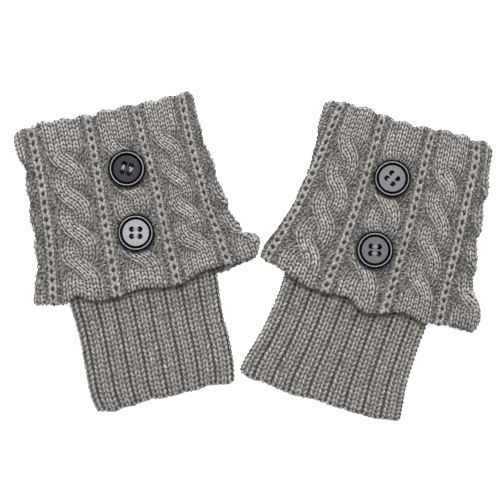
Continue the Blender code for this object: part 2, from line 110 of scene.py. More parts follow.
# The cuff's folded edges and its four chain columns, read across at distances along it
CUFF_COLUMNS = ("along", "left", "chain_a", "chain_b", "chain_c", "chain_d", "right")
CUFF_ROWS = {
    "left": (
        (0.0, -64.0, -51.9, -12.3, 21.0, 52.8, 61.0),
        (14.0, -63.8, -51.8, -12.4, 21.2, 52.4, 60.4),
        (28.0, -60.9, -52.0, -13.0, 22.0, 52.4, 60.8),
        (42.0, -62.4, -52.3, -13.7, 22.9, 52.6, 62.7),
        (62.0, -63.8, -53.8, -14.8, 23.7, 53.9, 65.2),
        (82.0, -65.4, -55.6, -15.8, 23.5, 54.9, 68.0),
        (97.0, -67.6, -57.8, -16.5, 23.6, 57.6, 72.0),
        (102.0, -68.8, -58.6, -16.7, 23.8, 58.2, 72.8),
        (107.0, -70.2, -59.4, -17.0, 24.0, 58.8, 82.4),
        (114.0, -72.8, -60.6, -17.4, 24.2, 59.6, 82.6),
        (122.0, -74.6, -61.5, -17.6, 24.4, 60.4, 78.2),
    ),
    "right": (
        (0.0, -57.8, -46.8, -18.0, 17.6, 47.6, 59.8),
        (14.0, -57.4, -48.0, -17.4, 18.4, 51.6, 61.8),
        (28.0, -55.6, -48.8, -16.4, 20.0, 53.4, 64.8),
        (42.0, -54.3, -49.6, -15.7, 21.5, 55.0, 67.0),
        (62.0, -55.4, -51.2, -14.8, 23.6, 57.6, 70.6),
        (82.0, -57.9, -53.6, -15.0, 24.6, 59.6, 75.2),
        (97.0, -62.1, -56.4, -15.4, 25.3, 61.0, 79.4),
        (106.0, -64.6, -58.8, -16.2, 25.8, 62.0, 86.6),
        (113.0, -66.2, -60.4, -16.6, 26.2, 63.0, 89.4),
        (122.0, -66.4, -61.0, -17.0, 26.6, 64.0, 87.0),
    ),
}

# The rib tube's folded edges
RIB_EDGES = ("along", "left", "right")
RIB_ROWS_ACROSS = {
    "left": (
        (0.0, -59.2, 56.5),
        (25.0, -56.0, 55.0),
        (60.0, -52.5, 53.0),
        (100.0, -50.3, 51.6),
        (125.0, -49.8, 50.6),
        (150.0, -48.8, 49.2),
        (172.0, -49.6, 49.9),
        (190.0, -49.2, 48.6),
        (198.0, -47.0, 46.8),
    ),
    "right": (
        (0.0, -53.2, 53.0),
        (25.0, -50.2, 56.4),
        (60.0, -48.4, 57.2),
        (100.0, -46.6, 57.2),
        (128.0, -45.4, 56.2),
        (150.0, -46.4, 56.2),
        (172.0, -49.4, 57.3),
        (186.0, -52.4, 59.2),
        (198.0, -53.4, 60.6),
    ),
}

# Pairs of a distance across and how far the edge line lies below its even place there
TOP_LINES = {
    "left": (
        (-65.0, 3.4), (-59.0, 1.6), (-48.0, -1.4), (-30.0, 0.0), (0.0, -0.1), (30.0, 0.2),
        (44.0, 0.0), (55.0, -0.9), (62.0, 0.9),
    ),
    "right": (
        (-59.0, 3.4), (-54.0, 0.6), (-40.0, -1.8), (-8.0, -1.4), (8.0, -2.4), (36.0, -6.2),
        (53.0, -6.2), (60.0, -5.2),
    ),
}
FRONT_HEMS = {
    "left": (
        (-75.0, -3.6), (-66.0, -1.0), (-53.0, 0.7), (-46.0, -4.0), (-35.0, 1.4), (-17.0, 4.0),
        (0.0, 0.2), (12.0, 3.0), (27.0, 4.4), (38.0, -1.2), (50.0, -3.0), (62.0, -1.6),
        (78.0, -3.5),
    ),
    "right": (
        (-66.0, -5.0), (-58.0, -3.0), (-48.0, -2.4), (-32.0, 2.4), (-17.0, 4.4), (-2.0, 0.8),
        (14.0, 6.8), (24.0, 5.4), (38.0, -1.6), (56.0, 0.6), (68.0, -1.5), (75.0, -3.2),
        (87.0, -4.2),
    ),
}
BACK_HEMS = {
    "left": (
        (-75.0, -4.4), (-50.0, -3.0), (0.0, -2.0), (50.0, 2.2), (62.0, 0.8), (78.0, -3.5),
    ),
    "right": (
        (-66.0, -5.0), (-48.0, -3.4), (0.0, -2.0), (50.0, -2.0), (75.0, -4.6), (87.0, -4.2),
    ),
}
RIB_ENDS = {
    "left": (
        (-49.0, 0.3), (-42.0, 1.6), (-35.0, 2.8), (-29.0, 1.6), (-22.0, 1.5), (-12.0, -0.2),
        (0.0, 0.9), (12.0, 0.2), (24.0, 0.0), (31.0, -1.2), (41.0, 0.6), (49.0, 0.0),
    ),
    "right": (
        (-54.0, -4.2), (-48.0, -2.1), (-42.0, -1.1), (-36.0, -1.8), (-24.0, -0.7), (-12.0, -0.4),
        (0.0, -2.0), (12.0, -1.9), (34.0, -2.7), (48.0, -4.1), (54.0, -5.7), (60.6, -7.2),
    ),
}

# Folds and lifts of the cuff's front: a hump or a trough, by its middle, its reach and its height
Fold = namedtuple("Fold", "across along reach_across reach_along height")
CUFF_FOLDS = {
    "left": (
        Fold(-46.0, 121.0, 7.0, 9.0, 2.2),
        Fold(3.0, 123.0, 9.0, 9.0, 1.8),
        Fold(45.0, 121.0, 10.0, 11.0, 2.6),
        Fold(76.0, 112.0, 9.0, 9.0, 2.6),
        Fold(66.5, 101.0, 4.0, 7.0, -1.6),
    ),
    "right": (
        Fold(-41.0, 121.0, 8.0, 9.0, 2.2),
        Fold(-3.0, 123.0, 8.0, 9.0, 2.4),
        Fold(34.0, 122.0, 10.0, 10.0, 2.6),
        Fold(82.0, 113.0, 8.5, 9.0, 2.6),
        Fold(71.0, 107.0, 3.5, 9.0, -1.4),
        Fold(64.0, 88.0, 3.0, 12.0, -0.8),
    ),
}

# Buttons, by their centres on each cuff, the turn of their holes, their lean on the knit and which way the
# thread crosses from hole to hole
Button = namedtuple("Button", "name across along turn lean_across lean_along thread")
BUTTONS = {
    "left": (
        Button("upper", 6.7, 41.1, -27.8, 1.2, -1.0, "up"),
        Button("lower", 3.6, 84.7, -12.1, -0.6, 1.4, "across"),
    ),
    "right": (
        Button("upper", 1.5, 36.6, -25.0, 0.6, 0.8, "across"),
        Button("lower", 6.3, 86.3, 15.0, -0.8, 0.6, "across"),
    ),
}

# The grids that the tubes' faces are read from, and the stops round a wall's end, beyond and below it
GRID_STEP = 1.0
STRAIGHT_ENDS = 1.1
YARN_ROOM = 0.8
TURN_FROM = -60.0
TURN_STEPS = 14
END_PROFILE = ((-0.5, 0.15), (-0.15, 0.45), (0.0, 1.0), (-0.1, 1.6), (-0.5, 2.0))
END_PROFILE += ((-2.0, 2.0), (-5.0, 2.0), (-9.0, 2.0))

# The cloth under the stitches: how deep it lies, its grid, and how it sinks at the underside and the folds
SHELL_SINK = 1.0
SHELL_STEP = 2.4
SHELL_FLANK = 8.0
SHELL_GROOVE = 0.2
FLOOR_ROOM = 0.04
UNDERSIDE_SINK = 0.9
EDGE_SINK = 0.5
PRESS_REACH = 0.35
PRESS_ROOM = 0.45

# Cables: wales and rows of stitches, and the ropes' swing, roundness and height
WALE = 4.05
ROW = 2.9
ROW_STEP = 0.25
STRAND_WALES = (-1, 0, 1)
ROPE_OFFSET = 6.05
STEEPER = 0.08
SLOPE_STEP = 0.5
ROPE_MIDDLE = 1.5
ROPE_OVER = 1.3
ROPE_UNDER = 1.9
STRAND_REACH = 6.9
STRAND_ROUNDNESS = 0.7
STRAIGHT_RELIEF = 1.1
CUFF_BEGINS = -2.5
LAST_ROW = 0.7
HEM_WALES = np.arange(-4.5, 5.0)

# Eyelet columns and the purl gutters beside them
EYELET_PITCH = 2 * ROW
FIRST_EYELET = -1.0
EYELET_BELOW = 0.3
CHAIN_RISE = 0.7
CHAIN_HALF_WIDTH = 3.6
FIRST_PURL = -1.5
LAST_PURL = 1.0
PURL_STAGGER = 0.75
Gutter = namedtuple("Gutter", "column place tone")
# Painted shade: the gutters' strokes are darker, most in the notch beside a rope.
GUTTERS = (Gutter(0.5, 4.9, 0.9), Gutter(0, 10.6, 0.74))

# Ribs: their wales and rows, and the places across a rib's end and how far the edge lies below it there
RIB_ROW = 3.27
RIB_WALE_PLACE = 2.35
RIB_HOLE_PLACE = 2.5
RIB_SHOULDER = 2.0
RIB_SHOWN_FROM = 108.0
BACK_RIB_SHOWN_FROM = 118.0
RIB_LOBES = ((-4.4, -0.5), (-1.5, 0.8), (1.5, 0.8), (4.4, -0.5))

# Kinds of stroke, among them dark strokes of painted shade, and the fields of a short length of yarn
KNIT, PURL_ROW, DEEP_ROW, SHADE_STROKE = 0, 1, 2, 3
STROKE_FIELDS = (
    "column strand start_across start_along end_across end_along bulge low rise breadth thickness tone kind"
).split()
STROKE = np.dtype([(name, float) for name in STROKE_FIELDS])

# A stitch's leg, from its place beside its wale at the foot to its place at the head
Leg = namedtuple("Leg", "inner outer length bulge low rise breadth thickness tone")
CABLE_LEG = Leg(0.43, 1.45, 3.05, 0.16, -0.52, 0.95, 0.78, 0.6, 1.08)
RIB_LEG = Leg(0.55, 1.55, 3.4, 0.22, -0.4, 0.7, 0.78, 0.52, 1.0)
# Painted shade: the flank leg is darker, as it turns away down the rib's flank.
RIB_FLANK_LEG = Leg(0.6, 2.3, 3.5, 0.4, -0.5, 0.7, 1.02, 0.52, 0.93)

# The legs round an eyelet, by how far below it they start: the upper and lower pair, and the bridge
CHAIN_LEGS = (
    (3.3, Leg(1.25, 2.0, 3.5, 0.25, -0.6, 0.85, 1.0, 0.6, 0.92)),
    (6.1, Leg(2.0, 1.3, 3.4, 0.25, -0.65, 0.85, 1.05, 0.6, 0.9)),
    (4.6, Leg(0.5, 0.95, 3.2, 0.1, -0.6, 0.85, 0.9, 0.58, 0.92)),
)

# Strokes that lie across a wale: purl bumps, edges, and dark strokes of painted shade between a stitch's
# legs, in eyelets, between ribs and between purl bumps
Bar = namedtuple("Bar", "reach tilt low rise breadth thickness tone kind")
CABLE_HOLE_SHADE = Bar(0.34, 0.0, 0.25, 0.02, 0.55, 0.44, 0.18, SHADE_STROKE)
RIB_HOLE_SHADE = Bar(0.38, 0.0, 0.36, 0.02, 0.6, 0.48, 0.1, SHADE_STROKE)
EYELET_SHADE = Bar(0.55, 0.0, -0.5, 0.02, 1.15, 0.92, 0.06, SHADE_STROKE)
RIB_GROOVE_SHADE = Bar(0.55, 0.25, -0.5, 0.2, 1.9, 1.615, 0.1, SHADE_STROKE)
PURL_BUMP = Bar(1.05, 0.35, -0.95, 0.8, 0.62, 0.527, 1.0, PURL_ROW)
PURL_GAP_SHADE = Bar(0.6, 0.25, 0.05, 0.2, 0.62, 0.527, 0.08, DEEP_ROW)
CUFF_EDGE = Bar(2.4, 0.3, -1.0, 0.7, 0.75, 0.7, 0.7, KNIT)
RIB_EDGE = Bar(1.7, 0.15, -0.5, 0.6, 0.8, 0.7, 1.0, KNIT)
CABLE_HOLE_ABOVE = 2.2
RIB_HOLE_ABOVE = 2.6

# How each stroke differs from the next
STITCH_SEED = 5
JITTER = {"start_across": 0.15, "start_along": 0.22, "end_across": 0.17, "end_along": 0.24}
JITTER |= {"bulge": 0.08, "low": 0.07, "rise": 0.09}
HOLE_JITTER = 0.4
TONE_SPREAD = 0.125
PURL_SPREAD = 0.6
PURL_TONE_SPREAD = 0.26
BREADTH_SPREAD = 0.09

# How finely a stroke is made, and its taper
Detail = namedtuple("Detail", "rings sides")
FINE = Detail(5, 6)
PURL = Detail(4, 4)
PLAIN = Detail(3, 4)
FACING_UP = -0.2
TAPER_END = 0.62
TAPER_CURVE = 0.6
ARCH_CURVE = 0.8
YARN_RADIUS = 0.7

# Painted shade in a stroke's colour: how much darker it is made at its ends and flanks, and the painted
# light and shade on a rope that passes over or under or turns away
SINK_SHADE = 0.42
FLANK_SHADE = 0.68
OVER_SHADE = 0.06
UNDER_SHADE = 0.5
FLANK_OF_ROPE = 0.42

# How dark the yarn is where the hem or a button lies close over it: the share of light left, and its reach
HEM_EDGE = (0.5, 2.8)
UNDER_HEM = (0.28, 4.2)
BESIDE_BUTTON = (0.06, 2.5)
SHADE_FALLS = (-0.2, 0.45)
SHADED_ABOVE = 3.6

# Creases between the ribs below the turned edge, and folds that lose a share of the light
CREASE_REACH = (2.0, 8.0)
CREASE_WIDTH = 0.6
CREASE_SHADE = 0.45
SHADED_FOLDS = {"left": (), "right": (Fold(79.5, 114.0, 9.5, 9.0, 0.28),)}

# Yarn: its colours, where the cloth under the stitches is yarn darkened with painted shade for the gaps,
# its surface, and its plies' slant, pitch and depth
CABLE_COLOUR = (0.308, 0.291, 0.265)
RIB_COLOUR = (0.300, 0.283, 0.257)
CUFF_CORE_SHADE_COLOUR = (0.138, 0.131, 0.118)
RIB_CORE_SHADE_COLOUR = (0.168, 0.159, 0.144)
YARN_SURFACE = {"Roughness": 0.92, "Sheen Weight": 0.25, "Sheen Roughness": 0.5, "Specular IOR Level": 0.2}
PLY_SLANT = 1.5
PLY_PITCH = 5.2
PLY_DEPTH = 0.35

# A button's finishes, and its outline from the edge of its face over the rim to its underside: parts of the
# radius, how far it lies below the rim's top, and the finish of the band that begins there
POLISHED, SATIN, RING = 0, 1, 2
Profile = namedtuple("Profile", "radius drop finish")
BUTTON_PROFILE = (
    Profile(0.560, 1.15, POLISHED),
    Profile(0.712, 1.15, SATIN),
    Profile(0.785, 2.25, SATIN),
    Profile(0.857, 0.1, SATIN),
    Profile(0.863, 0.038, RING),
    Profile(0.870, 0.017, RING),
    Profile(0.878, 0.004, RING),
    Profile(0.885, 0.0, RING),
    Profile(0.892, 0.004, RING),
    Profile(0.900, 0.017, RING),
    Profile(0.907, 0.038, SATIN),
    Profile(0.913, 0.1, SATIN),
    Profile(0.985, 0.74, SATIN),
    Profile(1.000, 1.1, SATIN),
    Profile(1.000, 2.6, SATIN),
    Profile(0.990, 3.0, SATIN),
    Profile(0.960, 3.5, SATIN),
    Profile(0.880, 3.8, SATIN),
)
FACE_HEIGHT = BUTTON_THICKNESS - 1.15
BUTTON_SIDES = 96
SHARP_FROM = 20
RESIN_DARK = (0.003, 0.003, 0.004)
RESIN_LIGHT = (0.007, 0.007, 0.009)
RESIN_SHOWN = (0.01, 0.01, 0.012)

# Its holes, whose bevels go outwards and down by parts of the bevel's size
HOLE_SIDES = 20
HOLE_RADIUS = 1.5
HOLE_BEVEL = 0.3
BEVEL_STEPS = ((1.4, 0.0), (1.0, 0.0), (0.3, 0.3), (0.0, 1.0))

# The sewing thread: bars of a few strands from hole to hole, which dive into the holes at their ends
THREAD_SEED = 11
THREADS = 4
THREAD_RADIUS = 0.27
THREAD_GAP = 0.5
THREAD_SPAN = 5.4
THREAD_APART = 4.8
THREAD_SHORT = 0.75
THREAD_RISE = 0.42
THREAD_DIVE = 2.6
THREAD_POINTS = 13
THREAD_SIDES = 10
LOOSE_THREAD = {"up": 2.4, "across": 0.7}

# Camera
VIEW_WIDTH = 340.0
VIEW_CENTRE = (-2.42, 4.70)
VIEW_PLANE = 7.0
LENS = 180.0
SENSOR = 36.0

# Soft boxes round the camera, a dim one behind it, and the small bright card that a button's face mirrors
Lamp = namedtuple("Lamp", "name across up high width length radiance")
LAMPS = (
    Lamp("Key", -0.25, 1.3, 1.15, 0.8, 0.7, 17.0),
    Lamp("Box_Near", 0.0, -0.55, 1.5, 1.7, 0.6, 2.3),
    Lamp("Box_Left", -0.55, 0.0, 1.5, 0.6, 0.5, 3.2),
    Lamp("Box_Right", 0.55, 0.0, 1.5, 0.6, 0.5, 2.3),
    Lamp("Box_Far", 0.0, 0.55, 1.5, 1.7, 0.6, 3.2),
    Lamp("Overhead", 0.0, 0.0, 1.95, 0.5, 0.5, 0.42),
)
CARDS = {"left": {"upper": 0.0, "lower": 4.2}, "right": {"upper": 2.2, "lower": 1.35}}
CARD_COLOUR = (0.985, 1.0, 1.055)
OVERHEAD_COLOUR = (0.98, 0.93, 1.12)
CARD_HEIGHT = 1.2
CARD_SIZE = 0.045
WORLD_LIGHT = 0.38
BACKGROUND = 1.2
FLOOR_GLOW = 0.4
FLOOR_COLOUR = (0.92, 0.92, 0.92)
WHITE = (1.0, 1.0, 1.0)


def smooth(value):
    """An even rise from 0 to 1."""
    value = np.clip(value, 0.0, 1.0)
    return value * value * (3.0 - 2.0 * value)


def unit(vectors):
    """Directions at length 1."""
    return vectors / np.linalg.norm(vectors, axis=-1, keepdims=True)


def flowing(place, places, values):
    """Values at a place, read from a smooth curve through a table."""
    slopes = np.gradient(values, places)
    place = np.clip(place, places[0], places[-1])
    row = np.clip(np.searchsorted(places, place) - 1, 0, len(places) - 2)
    width = places[row + 1] - places[row]
    t = (place - places[row]) / width
    start = (1 + 2 * t) * (1 - t) ** 2 * values[row] + t * (1 - t) ** 2 * width * slopes[row]
    end = t * t * (3 - 2 * t) * values[row + 1] + t * t * (t - 1) * width * slopes[row + 1]
    return start + end


def named_columns(rows, columns, along):
    """A table's columns at one distance along."""
    places, *table = np.transpose(rows)
    return {name: float(flowing(along, places, values)) for name, values in zip(columns[1:], table)}


def line_below(rows, across):
    """How far an edge line lies below its even place."""
    return flowing(across, *np.transpose(rows))


def closed_section(left, right, heights, top_height):
    """A flattened tube's outer line, from its left fold over the front and back underneath."""
    sweep = np.linspace(0, math.pi, SECTION_STEPS)
    across = left + (right - left) * (1 - np.cos(sweep)) / 2
    fullness = 1.0
    for inward, height in zip((across - left, right - across), heights):
        beside = 1 - np.clip(inward / (EDGE_SHARE * height + EDGE_LEAST), 0, 1)
        fullness = fullness * (1 - beside**EDGE_POWER)
    fullness = fullness ** (1 / EDGE_POWER)
    middle = np.where(across < (left + right) / 2, *heights) / 2
    top = middle + (top_height(across) - middle) * fullness
    bottom = middle * (1 - fullness)
    line = np.column_stack((np.append(across, across[-2:0:-1]), np.append(top, bottom[-2:0:-1])))
    steps = np.linalg.norm(np.roll(line, -1, axis=0) - line, axis=1)
    return line, np.append(0.0, np.cumsum(steps))


def read_section(line, walked, marks, walks, pattern, repeats):
    """Points and outward directions at pattern places, which marks tie to distances walked."""
    closed = np.vstack((line, line[:1]))

    def points_at(distance):
        distance = np.mod(distance, walked[-1])
        return np.column_stack([np.interp(distance, walked, closed[:, i]) for i in (0, 1)])

    turned = np.mod(pattern - marks[0], repeats) + marks[0]
    distance = np.mod(np.interp(turned, marks, walks), walked[-1])
    run = unit(points_at(distance + DIRECTION_REACH) - points_at(distance - DIRECTION_REACH))
    return points_at(distance), np.column_stack((-run[:, 1], run[:, 0]))


def fold_heights(folds, across, along):
    """The height of all the humps and troughs together."""
    heights = np.zeros_like(across)
    for middle, down, reach_across, reach_along, height in folds:
        beside, beyond = (across - middle) / reach_across, (along - down) / reach_along
        heights = heights + height * np.exp(-(beside**2) - beyond**2)
    return heights


def cuff_section(side, along):
    """The cuff's outer line at one distance along, and where its pattern lies on it."""
    cuff = named_columns(CUFF_ROWS[side], CUFF_COLUMNS, along)
    rib = named_columns(RIB_ROWS_ACROSS[side], RIB_EDGES, along)
    left, right = cuff["left"], cuff["right"]
    margins = (rib["left"] - left, right - rib["right"])
    heights = []
    for margin, place in zip(margins, (left + SNUG_MARGIN, right - SNUG_MARGIN)):
        looseness = smooth((margin - SNUG_MARGIN) / (LOOSE_MARGIN - SNUG_MARGIN))
        lift = float(fold_heights(CUFF_FOLDS[side], np.array(place), along))
        heights.append(CUFF_STACK - (CUFF_STACK - CUFF_FOLDED) * looseness + lift)

    def top_height(across):
        height = CUFF_STACK
        inner = 1.0
        for inward, margin, edge_height in zip((across - left, right - across), margins, heights):
            height = height - (CUFF_STACK - edge_height) * (1 - smooth(inward / margin))
            inner = inner * smooth(inward / FOLD_MARGIN)
        return height + fold_heights(CUFF_FOLDS[side], across, along) * inner

    line, walked = closed_section(left, right, heights, top_height)
    front = walked[:SECTION_STEPS]
    chains = [cuff[name] for name in CUFF_COLUMNS if name.startswith("chain")]
    places = np.interp(chains, line[:SECTION_STEPS, 0], front)
    first = 0.5 - places[0] / REPEAT_WIDTH
    last = 3.5 + (front[-1] - places[3]) / REPEAT_WIDTH
    marks = [first, 0.5, 1.5, 2.5, 3.5, last, first + REPEATS]
    return line, walked, marks, [0.0, *places, front[-1], walked[-1]]


def cuff_ring(side, pattern, along, depth):
    """One ring of the cuff's even face, moved in by a depth."""
    points, outward = read_section(*cuff_section(side, along), pattern, REPEATS)
    placed = points - outward * depth
    across = points[:, 0]
    share = along / CUFF_LENGTH
    scallops = SCALLOP * (0.5 - np.abs(np.sin(math.pi * rib_places(side, across))))
    top = line_below(TOP_LINES[side], across) + scallops
    back_hem = line_below(BACK_HEMS[side], across)
    front = smooth(0.5 + outward[:, 1] / 2)
    hem = back_hem + (line_below(FRONT_HEMS[side], across) - back_hem) * front
    below = top * (1 - share) ** 2 + hem * share**2
    return np.column_stack((placed[:, 0], -(along + below), placed[:, 1]))


def rib_places(side, across):
    """The rib pattern's place at the turned edge, where each rib makes one scallop."""
    edges = named_columns(CUFF_ROWS[side], CUFF_COLUMNS, 0.0)
    return RIBS / 2 * (across - FIRST_VALLEY[side]) / (edges["right"] - edges["left"])


def rib_ring(side, pattern, along, depth):
    """One ring of the rib's even face, which comes down to the surface past the cuff's hem."""
    edges = named_columns(RIB_ROWS_ACROSS[side], RIB_EDGES, along)

    def top_height(across):
        return np.full_like(across, RIB_HEIGHT)

    line, walked = closed_section(edges["left"], edges["right"], [RIB_HEIGHT] * 2, top_height)
    first = RIB_PHASE[side]
    marks = [first, first + FRONT_RIBS[side], first + RIBS]
    walks = [0.0, walked[SECTION_STEPS - 1], walked[-1]]
    points, outward = read_section(line, walked, marks, walks, pattern, RIBS)
    placed = points - outward * depth
    share = along / RIB_LENGTH
    top = line_below(TOP_LINES[side], points[:, 0])
    end = line_below(RIB_ENDS[side], points[:, 0])
    below = top * (1 - share) ** 2 + end * share**6
    lift = RIB_UNDERSIDE * (1 - float(smooth((along - RIB_COMES_DOWN) / (RIB_IS_DOWN - RIB_COMES_DOWN))))
    return np.column_stack((placed[:, 0], -(along + below), placed[:, 1] + lift))


def straight_profile(start, length):
    """The stops down a tube's face, then round its wall's end and a little way up inside it."""
    straight = np.arange(start, length - YARN_ROOM - STRAIGHT_ENDS, GRID_STEP)
    ends = [(length - YARN_ROOM + beyond, depth) for beyond, depth in END_PROFILE]
    return [(along, 0.0) for along in straight] + ends


def cuff_profile():
    """The stops round the turned edge and down the cuff."""
    angles = np.radians(np.linspace(TURN_FROM, 90, TURN_STEPS))
    turned = [(TURN_LENGTH * (1 - math.cos(a)), TURN_DEPTH * (1 - math.sin(a))) for a in angles]
    return turned + straight_profile(TURN_LENGTH + GRID_STEP, CUFF_LENGTH)


class Tube:
    """A knitted tube's even outer face, read by pattern place and by station along its wales."""

    def __init__(self, side, part, ring, profile, repeats, width):
        profile = np.array(profile)
        steps = np.hypot(*np.diff(profile, axis=0).T)
        walked = np.append(0.0, np.cumsum(steps))
        straight = int(np.argmin(profile[:, 1] > 0))
        self.side = side
        self.name = f"{side}_{part}"
        self.is_cuff = part == "cuff"
        self.slot = "cable_knit" if self.is_cuff else "rib_knit"
        self.repeats = repeats
        self.width = width
        self.stations = walked - walked[straight] + profile[straight, 0]
        self.columns = round(repeats * width / GRID_STEP)
        places = np.arange(self.columns) * repeats / self.columns
        self.points = np.array([ring(side, places, along, depth) for along, depth in profile])
        down = np.gradient(self.points, self.stations, axis=0)
        across = np.roll(self.points, -1, axis=1) - np.roll(self.points, 1, axis=1)
        self.outward = unit(np.cross(down, across))

    def read(self, grid, pattern, station):
        row = np.interp(station, self.stations, np.arange(len(self.stations)))
        above = np.minimum(row.astype(int), len(self.stations) - 2)
        column = np.mod(pattern, self.repeats) * self.columns / self.repeats
        before = column.astype(int) % self.columns
        after = (before + 1) % self.columns
        down, right = (row - above)[..., None], (column - np.floor(column))[..., None]
        upper, lower = (grid[i, before] * (1 - right) + grid[i, after] * right for i in (above, above + 1))
        return upper * (1 - down) + lower * down

    def place(self, pattern, station, height):
        """Points at a height off the even face, pressed flat underneath and under the buttons."""
        outward = self.read(self.outward, pattern, station)
        raised = smooth((outward[..., 2] + RAISED_TO) / (2 * RAISED_TO))
        height = height * raised - (1 - raised) * UNDERSIDE_SINK * (1 - np.clip(height, 0, 1))
        height = height - EDGE_SINK * (1 - np.abs(outward[..., 2])) ** 2
        points = self.read(self.points, pattern, station) + outward * height[..., None]
        points[..., 2] = np.maximum(points[..., 2], FLOOR_ROOM)
        for button in BUTTONS[self.side]:
            away = np.hypot(points[..., 0] - button.across, points[..., 1] + button.along)
            pressed = 1 - smooth((away / (BUTTON_DIAMETER / 2) - 1.0) / PRESS_REACH)
            over = np.maximum(points[..., 2] - (button_height(button) - PRESS_ROOM), 0)
            points[..., 2] -= over * pressed
        return points


def button_height(button):
    """The height of a button's underside, so that its lean keeps it clear of the knit."""
    lean = math.radians(max(abs(button.lean_across), abs(button.lean_along))) * BUTTON_DIAMETER / 2
    return BUTTON_CREST + LEAN_ROOM * lean


def rope_line(strand, along):
    """How far a strand lies from its cable's centre, and if it passes over (1) or under (-1) the other."""
    turn = np.clip((along - FIRST_CROSSING) / CROSSING_PITCH + 0.5, 0, CROSSINGS)
    crossing = np.minimum(np.floor(turn), CROSSINGS - 1)
    swing = (turn - crossing - 0.5) * math.pi
    moved = (np.sin(swing) + STEEPER * np.sin(3 * swing)) / (1 - STEEPER)
    way = np.where(crossing % 2 == 0, 1.0, -1.0) * strand
    return ROPE_OFFSET * moved * way, np.cos(swing) * way


def rope_height(over):
    """A rope's height, by how far it passes over (1) or under (-1) the other."""
    return ROPE_MIDDLE + np.where(over > 0, ROPE_OVER, ROPE_UNDER) * over


def twisted(along):
    """1 where a cable's ropes cross, and 0 above and below, where it is plain."""
    last = FIRST_CROSSING + (CROSSINGS - 1) * CROSSING_PITCH
    begins = smooth((along - FIRST_CROSSING + TWIST_BEGINS) / TWIST_FADE)
    return begins * smooth((last + TWIST_BEGINS - along) / TWIST_FADE)


def cable_relief(across, along, rope):
    """A cable's height: the rope's where it twists, and an even one where it is plain."""
    plain = STRAIGHT_RELIEF * np.clip(1 - (across / ROPE_HALF_WIDTH) ** 4, 0, 1)
    twist = twisted(along)
    return rope * twist + plain * (1 - twist)


def on_rope(strand, offset, along):
    """Where a strand's stitch lies across and along its cable, its height there and its share of light."""
    middle, over = rope_line(strand, along)
    ahead, behind = (rope_line(strand, along + step)[0] for step in (SLOPE_STEP, -SLOPE_STEP))
    slope = (ahead - behind) / (2 * SLOPE_STEP)
    lean = 1 / np.sqrt(1 + slope**2)
    across = middle + offset * lean
    placed = along - offset * slope * lean
    round_strand = np.clip(1 - (offset / STRAND_REACH) ** 2, 0, 1) ** STRAND_ROUNDNESS
    relief = cable_relief(across, along, rope_height(over) * round_strand)
    light = OVER_SHADE * np.maximum(over, 0) + UNDER_SHADE * np.minimum(over, 0)
    light = light - FLANK_OF_ROPE * (1 - round_strand)
    return across, placed, relief, 1 + twisted(along) * light


def strokes(*values):
    """Short lengths of yarn, from values in the order of STROKE_FIELDS."""
    values = np.broadcast_arrays(*values)
    made = np.zeros(values[0].shape, STROKE)
    for name, value in zip(STROKE_FIELDS, values):
        made[name] = value
    return made.ravel()


def knit_legs(column, strand, place, rows, leg, ways=(-1.0, 1.0)):
    """The two legs of each knit stitch of one wale, as a V that opens upwards, or only one of them."""
    way = np.array(ways)[:, None]
    start = (place + way * leg.inner, rows)
    end = (place + way * leg.outer, rows - leg.length)
    return strokes(column, strand, *start, *end, way * leg.bulge, *leg[4:], KNIT)


def bars(column, place, rows, bar, strand=0):
    """Strokes that lie across a wale, one at each row or place."""
    start = (place - bar.reach, rows + bar.tilt)
    end = (place + bar.reach, rows - bar.tilt)
    return strokes(column, strand, *start, *end, 0.0, *bar[2:])


def rope_rows():
    """The rows of a cable's stitches, evenly apart on its strand, and how the strand stretches there."""
    along = np.arange(CUFF_BEGINS, CUFF_LENGTH + LAST_ROW, ROW_STEP)
    slope = np.gradient(rope_line(1, along)[0], along)
    stretch = np.sqrt(1 + slope**2)
    walked = np.cumsum(stretch) * ROW_STEP
    steps = np.arange(walked[-1], walked[0], -ROW)
    return np.interp(steps, walked, along), np.interp(steps, walked, stretch)


def cuff_strokes():
    """Every stroke of one repeat of the cable pattern, whose cable is at the whole number."""
    rows, stretch = rope_rows()
    cable_leg = CABLE_LEG._replace(length=CABLE_LEG.length / stretch)
    made = []
    for strand in (1, -1):
        for wale in STRAND_WALES:
            made.append(knit_legs(0, strand, wale * WALE, rows, cable_leg))
            # Painted shade: a dark stroke in the opening of each stitch's V.
            made.append(bars(0, wale * WALE, rows - CABLE_HOLE_ABOVE / stretch, CABLE_HOLE_SHADE, strand))
    eyelets = np.arange(FIRST_EYELET, CUFF_LENGTH, EYELET_PITCH)
    for below, leg in CHAIN_LEGS:
        made.append(knit_legs(0.5, 0, 0.0, eyelets + below, leg))
    # Painted shade: a dark stroke in each eyelet.
    made.append(bars(0.5, 0.0, eyelets + EYELET_PITCH + EYELET_BELOW, EYELET_SHADE))
    purl_rows = np.arange(FIRST_PURL, CUFF_LENGTH + LAST_PURL, ROW)
    between = purl_rows + ROW / 2
    for way in (-1, 1):
        for gutter in GUTTERS:
            place = way * gutter.place
            bump = PURL_BUMP._replace(tone=gutter.tone)
            made.append(bars(gutter.column, place - PURL_STAGGER, purl_rows, bump))
            made.append(bars(gutter.column, place + PURL_STAGGER, between, bump))
            # Painted shade: dark strokes between the purl bumps.
            made.append(bars(gutter.column, place, between, PURL_GAP_SHADE))
    made.append(bars(0, HEM_WALES * WALE, CUFF_LENGTH + CUFF_EDGE.tilt, CUFF_EDGE))
    return np.concatenate(made)


